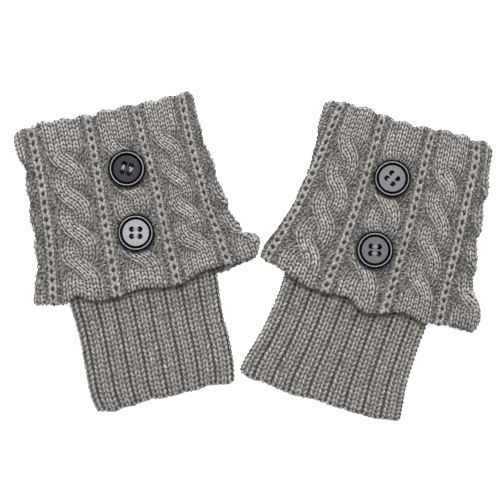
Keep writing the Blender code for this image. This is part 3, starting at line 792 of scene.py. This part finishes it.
def rib_strokes():
    """Every stroke of one rib, whose groove is at the whole number."""
    rows = np.arange(RIB_LENGTH + LAST_ROW, RIB_SHOWN_FROM, -RIB_ROW)
    made = []
    for way in (-1, 1):
        for leg, foot in ((RIB_LEG, -way), (RIB_FLANK_LEG, way)):
            made.append(knit_legs(0.5, 0, way * RIB_WALE_PLACE, rows, leg, (foot,)))
        # Painted shade: a dark stroke in the opening of each stitch's V.
        made.append(bars(0.5, way * RIB_HOLE_PLACE, rows - RIB_HOLE_ABOVE, RIB_HOLE_SHADE))
    # Painted shade: a dark stroke down the groove between the ribs.
    made.append(bars(0.0, 0.0, rows, RIB_GROOVE_SHADE))
    places, drops = np.transpose(RIB_LOBES)
    made.append(bars(0.5, places, RIB_LENGTH + drops - RIB_EDGE.tilt, RIB_EDGE))
    return np.concatenate(made)


def repeated(one, repeats, random):
    """A repeat's strokes all round a tube, each a little different."""
    made = np.concatenate([one] * repeats)
    made["column"] += np.repeat(np.arange(repeats), len(one))
    steady = np.where(made["kind"] == SHADE_STROKE, HOLE_JITTER, 1.0)
    for field, spread in JITTER.items():
        made[field] += random.normal(0.0, spread, len(made)) * steady
    purl = is_purl(made)
    wild = random.normal(0.0, PURL_SPREAD, (3, len(made))) * purl
    for field, moved in zip(("start_along", "end_along", "start_across", "end_across"), (0, 1, 2, 2)):
        made[field] += wild[moved]
    spread = np.where(purl, PURL_TONE_SPREAD, TONE_SPREAD)
    made["tone"] *= 1 + random.normal(0.0, 1.0, len(made)) * spread
    made["breadth"] *= 1 + random.normal(0.0, BREADTH_SPREAD, len(made))
    return made


def is_purl(rows):
    return (rows["kind"] == PURL_ROW) | (rows["kind"] == DEEP_ROW)


def ringed(paths, wide, high, angles):
    """Rings of points round paths, by how wide and how high each is and by the angles round a ring."""
    run = unit(np.gradient(paths, axis=-2))
    beside = unit(np.cross(run, (0.0, 0.0, 1.0)))
    above = np.cross(beside, run)
    wide = (wide[..., None] * np.cos(angles))[..., None]
    high = (high[..., None] * np.sin(angles))[..., None]
    return paths[..., None, :] + beside[..., None, :] * wide + above[..., None, :] * high


def yarn_tubes(tube, rows, detail):
    """Strokes as rings of points on a tube's face, with each point's place on its yarn and its tone, which
    carries painted shade.
    """
    rows = rows[:, None]
    t = np.linspace(0, 1, detail.rings)
    arc = np.sin(math.pi * t)
    across = rows["start_across"] + (rows["end_across"] - rows["start_across"]) * t + rows["bulge"] * arc
    along = rows["start_along"] + (rows["end_along"] - rows["start_along"]) * t
    paths = np.stack((across, along, rows["low"] + rows["rise"] * arc**ARCH_CURVE), axis=-1)
    length = np.cumsum(np.linalg.norm(np.gradient(paths, axis=1), axis=2), axis=1)
    taper = TAPER_END + (1 - TAPER_END) * arc**TAPER_CURVE
    angles = np.arange(detail.sides) * 2 * math.pi / detail.sides
    points = ringed(paths, rows["breadth"] * taper, rows["thickness"] * taper, angles)

    across, along, off_face = np.moveaxis(points, -1, 0)
    column, strand = rows["column"][..., None], rows["strand"][..., None]
    if tube.is_cuff:
        relief = CHAIN_RISE * np.clip(1 - (across / CHAIN_HALF_WIDTH) ** 2, 0, 1)
    else:
        relief = RIB_RELIEF * smooth((RIB_PITCH / 2 - np.abs(across)) / RIB_SHOULDER) * (column % 1 > 0.25)
    choices = zip((across, along, relief, 1.0), on_rope(strand, across, along))
    across, along, relief, light = (np.where(strand == 0, free, roped) for free, roped in choices)
    placed = tube.place(column + across / tube.width, along, relief + off_face)
    spun = np.stack(np.broadcast_arrays(length[..., None], angles * YARN_RADIUS, 0.0), axis=-1)
    # Painted shade: a stroke's colour is darker at its sunk ends and on its flanks, and lighter on its top.
    painted_end_shade = 1 - SINK_SHADE * (1 - arc**0.5)
    painted_crest_light = FLANK_SHADE + (1 - FLANK_SHADE) * np.clip(np.sin(angles), 0, 1)
    # The tone carries the stroke's random tone and all its painted shade: at its ends and flanks, close to
    # the hem and the buttons, in the creases and on the ropes.
    tone = (rows["tone"] * painted_end_shade)[..., None] * painted_crest_light * contact_shade(tube, placed)
    return placed, spun, tone * light


def near_shade(distance, shade):
    """The share of light at a distance from what shades it."""
    left, reach = shade
    return left + (1 - left) * smooth(distance / reach)


def contact_shade(tube, placed):
    """The share of light on points that lie close to the cuff's hem or to a button."""
    across, along, high = placed[..., 0], -placed[..., 1], placed[..., 2]
    beyond_hem = along - CUFF_LENGTH - line_below(FRONT_HEMS[tube.side], across)
    if not tube.is_cuff:
        return np.where(high > SHADED_ABOVE, near_shade(beyond_hem, UNDER_HEM), 1.0)
    shade = near_shade(-beyond_hem, HEM_EDGE) * (1 - fold_heights(SHADED_FOLDS[tube.side], across, along))
    shade = np.where(high > SHADED_ABOVE, shade, 1.0) * crease_shade(tube.side, across, along)
    for button in BUTTONS[tube.side]:
        beside = across - button.across - SHADE_FALLS[0]
        below = along - button.along - SHADE_FALLS[1]
        shade = shade * near_shade(np.hypot(beside, below) - BUTTON_DIAMETER / 2, BESIDE_BUTTON)
    return shade


def crease_shade(side, across, along):
    """The share of light in the creases below the turned edge, between its ribs."""
    from_crease = np.abs(np.sin(math.pi * rib_places(side, across)))
    below = along - line_below(TOP_LINES[side], across)
    near_edge = 1 - smooth((below - CREASE_REACH[0]) / (CREASE_REACH[1] - CREASE_REACH[0]))
    return 1 - CREASE_SHADE * near_edge * (1 - smooth(from_crease / CREASE_WIDTH))


def wall_quads(rings, sides, closed=False):
    """The quads of a tube's wall. A closed one runs on from its last ring to its first."""
    ring = np.arange(rings if closed else rings - 1)[:, None] * sides
    below = (ring + sides) % (rings * sides)
    corner = np.arange(sides)
    following = (corner + 1) % sides
    quads = np.stack((ring + corner, ring + following, below + following, below + corner), axis=-1)
    return quads.reshape(-1, 4)


def tube_faces(count, detail):
    """The quads of many tubes of yarn with closed ends."""
    rings, sides = detail
    cap = np.array([[0, 1, 2, 3]] if sides == 4 else [[0, 1, 2, 5], [2, 3, 4, 5]])
    one = np.concatenate((wall_quads(rings, sides), cap[:, ::-1], cap + (rings - 1) * sides))
    return (one + (np.arange(count) * rings * sides)[:, None, None]).reshape(-1, 4)


def to_world(side, points):
    """A leg warmer's own millimetres as the scene's metres."""
    place = PLACES[side]
    cos, sin = math.cos(math.radians(place["turn"])), math.sin(math.radians(place["turn"]))
    across, up, high = (points[..., i] for i in range(3))
    x, y = across * cos - up * sin + place["across"], across * sin + up * cos + place["up"]
    return np.stack((x, y, high), axis=-1) * MM


def quad_mesh(name, points, quads):
    """A smooth mesh of quads whose faces look outwards."""
    points = points.reshape(-1, 3)
    a, b, c = (points[quads[:, i]] for i in range(3))
    if np.einsum("ij,ij->i", a, np.cross(b, c)).sum() < 0:
        quads = quads[:, ::-1]
    mesh = bpy.data.meshes.new(name)
    mesh.from_pydata(points, [], quads)
    mesh.shade_smooth()
    return mesh


def add_object(name, data):
    made = bpy.data.objects.new(name, data)
    bpy.context.scene.collection.objects.link(made)
    return made


def add_piece(name, mesh, look, slot):
    """A piece that rides on the one body, with the look it is given as its material."""
    piece = add_object(name, mesh)
    mesh.materials.append(look)
    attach(piece, "root")
    return piece


def add_stitches(tube, part, rows, detail, look):
    """A piece of many strokes, with their yarn's spin and its tone with painted shade on its points."""
    placed, spun, tone = yarn_tubes(tube, rows, detail)
    name = f"{tube.name}_{part}"
    mesh = quad_mesh(name, to_world(tube.side, placed), tube_faces(len(rows), detail))
    mesh.attributes.new("spun", "FLOAT_VECTOR", "POINT").data.foreach_set("vector", spun.ravel())
    mesh.attributes.new("tone", "FLOAT", "POINT").data.foreach_set("value", tone.ravel())
    return add_piece(name, mesh, look, tube.slot)


def shell_relief(tube, pattern, station):
    """The shell's height: it fills the cables and ribs, a yarn's depth down."""
    if not tube.is_cuff:
        part = pattern - np.floor(pattern)
        return RIB_RELIEF * smooth(np.minimum(part, 1 - part) / SHELL_GROOVE) - SHELL_SINK
    across = (pattern - np.round(pattern)) * tube.width
    rope = np.zeros_like(across)
    for strand in (1, -1):
        middle, over = rope_line(strand, station)
        flank = np.clip(1 - ((across - middle) / SHELL_FLANK) ** 2, 0, 1)
        rope = np.maximum(rope, rope_height(over) * flank)
    return cable_relief(across, station, rope) - SHELL_SINK


def add_shell(tube, length, wall, look):
    """The closed cloth under the stitches: down the outside, round the end and up the inside."""
    columns = round(tube.repeats * tube.width / SHELL_STEP)
    pattern = np.arange(columns) * tube.repeats / columns
    start, end = tube.stations[0], length - YARN_ROOM
    stops = np.linspace(start, end, round((end - start) / SHELL_STEP))

    def ring(stop, height):
        return tube.place(pattern, np.full(columns, stop), height)

    rings = [ring(stop, shell_relief(tube, pattern, stop)) for stop in stops]
    rings += [ring(stop, np.full(columns, -wall)) for stop in stops[::-1]]
    quads = wall_quads(len(rings), columns, closed=True)
    name = f"{tube.name}_cloth"
    return add_piece(name, quad_mesh(name, to_world(tube.side, np.array(rings)), quads), look, tube.slot)


def new_look(name, shown, surface):
    """A material, its node tree and its shader, with the shader's even values set."""
    made = bpy.data.materials.new(name)
    made.use_nodes = True
    made.diffuse_color = (*shown, 1.0)
    shader = made.node_tree.nodes["Principled BSDF"]
    for socket, value in surface.items():
        shader.inputs[socket].default_value = value
    return made, made.node_tree, shader


def node(tree, kind, **values):
    """A shader node with its named sockets and settings set."""
    made = tree.nodes.new(f"ShaderNode{kind}")
    for name, value in values.items():
        if name in made.inputs:
            made.inputs[name].default_value = value
        else:
            setattr(made, name, value)
    return made


def texture(tree, kind, **values):
    """A texture's value over the object's own coordinates."""
    made = node(tree, kind, **values)
    tree.links.new(node(tree, "TexCoord").outputs["Object"], made.inputs["Vector"])
    return made.outputs["Fac"]


def ranged(tree, value, low, high, start=0.0, end=1.0):
    """A value between start and end, made to run from low to high."""
    made = node(tree, "MapRange", **{"From Min": start, "From Max": end, "To Min": low, "To Max": high})
    tree.links.new(value, made.inputs["Value"])
    return made.outputs["Result"]


def worked_out(tree, operation, *parts):
    """What an operation makes of sockets and plain numbers."""
    made = node(tree, "Math", operation=operation)
    for socket, part in zip(made.inputs, parts):
        if isinstance(part, float):
            socket.default_value = part
        else:
            tree.links.new(part, socket)
    return made.outputs[0]


def tinted(tree, shader, value, dark, light):
    """Base colours between a dark and a light one."""
    made = node(tree, "ValToRGB")
    for stop, colour in zip(made.color_ramp.elements, (dark, light)):
        stop.color = (*colour, 1)
    tree.links.new(value, made.inputs["Fac"])
    tree.links.new(made.outputs["Color"], shader.inputs["Base Color"])


def bumped(tree, shader, height, strength, distance):
    bump = node(tree, "Bump", Strength=strength, Distance=distance)
    tree.links.new(height, bump.inputs["Height"])
    tree.links.new(bump.outputs["Normal"], shader.inputs["Normal"])


def yarn_look(name, colour, spun):
    """Wool-like yarn: plied, fuzzy and a little uneven in colour; spun yarn also takes the painted shade in
    its points' tone.
    """
    made, tree, shader = new_look(name, colour, YARN_SURFACE)
    mottle = texture(tree, "TexNoise", Scale=1200.0, Detail=3.0, Roughness=0.6)
    patches = texture(tree, "TexNoise", Scale=60.0, Detail=2.0)
    mottled = ranged(tree, mottle, 0.6, 1.4, 0.3, 0.7)
    shade = worked_out(tree, "MULTIPLY", mottled, ranged(tree, patches, 0.92, 1.08))
    height = texture(tree, "TexNoise", Scale=3200.0, Detail=2.0)
    if spun:
        tone = node(tree, "Attribute", attribute_name="tone")
        shade = worked_out(tree, "MULTIPLY", shade, tone.outputs["Fac"])
        parts = node(tree, "SeparateXYZ")
        tree.links.new(node(tree, "Attribute", attribute_name="spun").outputs["Vector"], parts.inputs[0])
        around = worked_out(tree, "MULTIPLY_ADD", parts.outputs["Y"], PLY_SLANT, parts.outputs["X"])
        ply = worked_out(tree, "SINE", worked_out(tree, "MULTIPLY", around, PLY_PITCH))
        height = worked_out(tree, "MULTIPLY_ADD", ply, PLY_DEPTH, height)
    tint = node(tree, "Mix", data_type="RGBA", blend_type="MULTIPLY")
    tint.inputs[0].default_value = 1.0
    tint.inputs[6].default_value = (*colour, 1.0)
    tree.links.new(shade, tint.inputs[7])
    tree.links.new(tint.outputs[2], shader.inputs["Base Color"])
    bumped(tree, shader, height, 0.6, 0.00015)
    return made


def resin_look(name, coat, coat_index, specular, roughness):
    """Black resin with faint clouds and fine scratches, polished or left satin."""
    surface = {
        "Specular IOR Level": specular,
        "IOR": 1.6,
        "Coat Weight": coat,
        "Coat IOR": coat_index,
        "Coat Roughness": 0.06,
    }
    made, tree, shader = new_look(name, RESIN_SHOWN, surface)
    clouds = texture(tree, "TexNoise", Scale=220.0, Detail=3.0)
    tinted(tree, shader, clouds, RESIN_DARK, RESIN_LIGHT)
    tree.links.new(ranged(tree, clouds, roughness, roughness + 0.06), shader.inputs["Roughness"])
    bumped(tree, shader, texture(tree, "TexNoise", Scale=2600.0, Detail=2.0), 0.12, 0.00005)
    return made


def thread_look(name, dark, light):
    """Sewing thread, whose twist is painted on it as bands of light and shade."""
    made, tree, shader = new_look(name, (light, light, light), {"Roughness": 0.6})
    twist = texture(tree, "TexWave", Scale=700.0, Distortion=1.5)
    tinted(tree, shader, twist, (dark, dark, dark), (light, light, light))
    return made


def hole_centres(button):
    reach = (THREAD_SPAN / 2, THREAD_APART / 2)
    across, up = reach if button.thread == "across" else reach[::-1]
    return (-across, -up), (-across, up), (across, -up), (across, up)


def button_mesh(name, button):
    """A four-hole button as one closed mesh, lying with its underside at height 0."""
    shape = bmesh.new()

    def ring(radius, height, sides, centre=(0.0, 0.0)):
        angles = np.arange(sides) * 2 * math.pi / sides
        around = zip(centre[0] + radius * np.cos(angles), centre[1] + radius * np.sin(angles))
        return [shape.verts.new((x, y, height)) for x, y in around]

    def pairs(loop):
        return zip(loop, loop[1:] + loop[:1])

    def join(first, second, finish):
        for (a, b), (d, c) in zip(pairs(first), pairs(second)):
            shape.faces.new((a, b, c, d)).material_index = finish

    radius = BUTTON_DIAMETER / 2
    outline = [ring(p.radius * radius, BUTTON_THICKNESS - p.drop, BUTTON_SIDES) for p in BUTTON_PROFILE]
    for row, first, second in zip(BUTTON_PROFILE, outline, outline[1:]):
        join(first, second, row.finish)
    top_loops, bottom_loops = [outline[0]], [outline[-1]]
    for centre in hole_centres(button):
        steps = np.array(BEVEL_STEPS) * HOLE_BEVEL
        rings = [ring(HOLE_RADIUS + out, FACE_HEIGHT - down, HOLE_SIDES, centre) for out, down in steps]
        rings.append(ring(HOLE_RADIUS, 0.0, HOLE_SIDES, centre))
        for first, second in zip(rings, rings[1:]):
            join(second, first, SATIN)
        top_loops.append(rings[0])
        bottom_loops.append(rings[-1])
    for loops in (top_loops, bottom_loops):
        edges = [shape.edges.get(pair) or shape.edges.new(pair) for loop in loops for pair in pairs(loop)]
        bmesh.ops.triangle_fill(shape, use_beauty=True, use_dissolve=False, edges=edges)
    bmesh.ops.recalc_face_normals(shape, faces=shape.faces)
    mesh = bpy.data.meshes.new(name)
    shape.to_mesh(mesh)
    shape.free()
    mesh.shade_smooth()
    mesh.set_sharp_from_angle(angle=math.radians(SHARP_FROM))
    return mesh


def button_frame(side, button):
    """From a button's own millimetres to the scene's metres."""

    def turned(angle, axis):
        return Matrix.Rotation(math.radians(angle), 4, axis)

    place = PLACES[side]
    holder = Matrix.Translation((place["across"], place["up"], 0)) @ turned(place["turn"], "Z")
    spot = Matrix.Translation((button.across, -button.along, button_height(button)))
    lean = turned(button.lean_along, "X") @ turned(button.lean_across, "Y") @ turned(button.turn, "Z")
    return Matrix.Scale(MM, 4) @ holder @ spot @ lean


def thread_mesh(name, button):
    """The sewing thread: two bars of a few strands each, down through the holes at their ends."""
    random = np.random.default_rng(THREAD_SEED)
    t = np.linspace(-1, 1, THREAD_POINTS)
    angles = np.arange(THREAD_SIDES) * 2 * math.pi / THREAD_SIDES
    radius = np.full(THREAD_POINTS, THREAD_RADIUS)
    walls = wall_quads(THREAD_POINTS, THREAD_SIDES)
    points, quads = [], []
    for bar in (-1, 1):
        for strand in range(THREADS):
            gap = THREAD_GAP * random.uniform(0.8, 1.1)
            offset = bar * THREAD_APART / 2 + (strand - (THREADS - 1) / 2) * gap
            height = FACE_HEIGHT + THREAD_RISE - THREAD_DIVE * np.abs(t) ** 7 + random.uniform(-0.06, 0.06)
            bow, slant = LOOSE_THREAD[button.thread] * random.uniform(-1, 1, 2)
            aside = offset + 0.5 * bow * (1 - t**2) + 0.35 * slant * t
            line = np.column_stack((t * (THREAD_SPAN / 2 - THREAD_SHORT), aside, height))
            if button.thread == "up":
                line = line[:, [1, 0, 2]] * (-1, 1, 1)
            quads.append(walls + len(points) * THREAD_POINTS * THREAD_SIDES)
            points.append(ringed(line, radius, radius, angles))
    return quad_mesh(name, np.array(points), np.concatenate(quads))


def add_button(side, button, looks):
    """A button in its three finishes, and the thread that holds it."""
    name = f"{side}_button_{button.name}"
    mesh = button_mesh(f"{name}_resin", button)
    mesh.transform(button_frame(side, button))
    piece = add_piece(f"{name}_turned", mesh, looks["resin"], "button_resin")
    mesh.materials.append(looks["satin"])
    mesh.materials.append(looks["ring"])
    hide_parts(name)
    sewing = thread_mesh(f"{name}_thread", button)
    sewing.transform(button_frame(side, button))
    add_piece(f"{name}_thread", sewing, looks[button.thread], "cable_knit")


def looks_up(tube, rows):
    """Whether each stroke lies on the front, and not on what the leg warmer rests on."""
    middle = (rows["start_along"] + rows["end_along"]) / 2
    outward = tube.read(tube.outward, rows["column"] + rows["start_across"] / tube.width, middle)
    return outward[..., 2] > FACING_UP


def build_side(side, looks, random):
    """One leg warmer: its two tubes' cloth and stitches, and its buttons."""
    cuff = Tube(side, "cuff", cuff_ring, cuff_profile(), REPEATS, REPEAT_WIDTH)
    rib = Tube(side, "rib", rib_ring, straight_profile(RIB_START, RIB_LENGTH), RIBS, RIB_PITCH)
    cuff_shell = add_shell(cuff, CUFF_LENGTH, CUFF_WALL, looks["cuff_core"])
    rib_shell = add_shell(rib, RIB_LENGTH, RIB_WALL, looks["rib_core"])

    rows = repeated(cuff_strokes(), REPEATS, random)
    front, kind = looks_up(cuff, rows), rows["kind"]
    cuff_pieces = [
        add_stitches(cuff, "knit_front", rows[front & (kind == KNIT)], FINE, looks["cable"]),
        add_stitches(cuff, "purl_front", rows[front & is_purl(rows)], PURL, looks["cable"]),
        # Painted shade: the dark strokes in the openings make a piece of their own.
        add_stitches(cuff, "holes_front", rows[front & (kind == SHADE_STROKE)], PLAIN, looks["cable"]),
        add_stitches(cuff, "knit_back", rows[~front & (kind <= PURL_ROW)], PLAIN, looks["cable"]),
    ]
    rows = repeated(rib_strokes(), RIBS, random)
    front, hole = looks_up(rib, rows), rows["kind"] == SHADE_STROKE
    back = ~front & ~hole & (rows["end_along"] > BACK_RIB_SHOWN_FROM)
    rib_pieces = [
        add_stitches(rib, "knit_front", rows[front & ~hole], FINE, looks["rib"]),
        # Painted shade: the dark strokes in the openings and the groove make a piece of their own.
        add_stitches(rib, "holes_front", rows[front & hole], PLAIN, looks["rib"]),
        add_stitches(rib, "knit_back", rows[back], PLAIN, looks["rib"]),
    ]

    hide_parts(f"{side}_cuff")
    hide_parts(f"{side}_rib_tube")
    for button in BUTTONS[side]:
        add_button(side, button, looks)


def build_stage():
    """The pale floor that the leg warmers lie on."""
    bpy.ops.mesh.primitive_grid_add(x_subdivisions=2, y_subdivisions=2, size=8.0, location=(0, 0, -0.0002))
    floor = bpy.context.object
    floor.name = "Floor"
    surface = {
        "Base Color": (*FLOOR_COLOUR, 1.0),
        "Roughness": 0.9,
        "Specular IOR Level": 0.0,
        "Emission Color": (*WHITE, 1.0),
        "Emission Strength": FLOOR_GLOW,
    }
    floor.data.materials.append(new_look("Floor", FLOOR_COLOUR, surface)[0])


def add_lamp(lamp, aim, colour=WHITE):
    """A soft box, or a round card, that faces what it lights."""
    data = bpy.data.lights.new(lamp.name, "AREA")
    data.shape = "ELLIPSE" if lamp.name.startswith("Card") else "RECTANGLE"
    data.size = lamp.width
    data.size_y = lamp.length
    data.energy = lamp.radiance * math.pi * lamp.width * lamp.length
    data.color = colour
    made = add_object(lamp.name, data)
    made.location = (lamp.across, lamp.up, lamp.high)
    made.rotation_euler = (Vector(aim) - made.location).to_track_quat("-Z", "Y").to_euler()
    made.visible_camera = False


def card_place(side, button):
    """A button's face, and the spot overhead that it mirrors into the camera."""
    placed = button_frame(side, button)
    face = placed @ Vector((0, 0, FACE_HEIGHT))
    normal = (placed.to_3x3() @ Vector((0, 0, 1))).normalized()
    seen = (bpy.context.scene.camera.location - face).normalized()
    mirrored = 2 * normal.dot(seen) * normal - seen
    return face, face + mirrored * (CARD_HEIGHT / mirrored.z)


def build_light():
    """The pale surroundings, the soft boxes and the cards."""
    world = bpy.data.worlds.new("Studio")
    bpy.context.scene.world = world
    world.use_nodes = True
    world.cycles_visibility.glossy = False
    tree = world.node_tree
    back = tree.nodes["Background"]
    back.inputs["Color"].default_value = (*WHITE, 1.0)
    seen = node(tree, "LightPath").outputs["Is Camera Ray"]
    tree.links.new(ranged(tree, seen, WORLD_LIGHT, BACKGROUND), back.inputs["Strength"])
    for lamp in LAMPS:
        add_lamp(lamp, (0, 0, 0), OVERHEAD_COLOUR if lamp.name == "Overhead" else WHITE)
    for side in SIDES:
        for button in BUTTONS[side]:
            radiance = CARDS[side][button.name]
            if radiance:
                face, spot = card_place(side, button)
                card = Lamp(f"Card_{side}_{button.name}", *spot, CARD_SIZE, CARD_SIZE, radiance)
                add_lamp(card, face, CARD_COLOUR)


def build_camera():
    """The camera straight above, far enough away that it hardly foreshortens."""
    data = bpy.data.cameras.new("Camera")
    data.lens = LENS
    data.sensor_width = SENSOR
    data.clip_end = 50.0
    camera = add_object("Camera", data)
    distance = VIEW_WIDTH * LENS / SENSOR
    camera.location = (VIEW_CENTRE[0] * MM, VIEW_CENTRE[1] * MM, (VIEW_PLANE + distance) * MM)
    bpy.context.scene.camera = camera


def build():
    build_camera()
    build_stage()
    build_light()
    bpy.context.scene.view_settings.view_transform = "Standard"
    looks = {
        "cable": yarn_look("Cable_Yarn", CABLE_COLOUR, True),
        "rib": yarn_look("Rib_Yarn", RIB_COLOUR, True),
        # The cloth under the stitches is yarn whose darker colour is painted shade for the gaps between the
        # strokes.
        "cuff_core": yarn_look("Cuff_Core", CUFF_CORE_SHADE_COLOUR, False),
        "rib_core": yarn_look("Rib_Core", RIB_CORE_SHADE_COLOUR, False),
        "resin": resin_look("Button_Resin", coat=1.0, coat_index=1.8, specular=0.5, roughness=0.09),
        "satin": resin_look("Button_Satin", coat=0.0, coat_index=1.5, specular=0.0, roughness=0.6),
        "ring": resin_look("Button_Ring", coat=1.0, coat_index=2.3, specular=0.8, roughness=0.09),
        "across": thread_look("Sewing_Thread", dark=0.1, light=0.34),
        # Painted highlight: the loose thread is a lighter copy of the sewing thread, for the light that its
        # loops catch.
        "up": thread_look("Loose_Thread", dark=0.14, light=0.46),
    }
    random = np.random.default_rng(STITCH_SEED)
    for side in SIDES:
        build_side(side, looks, random)


build()
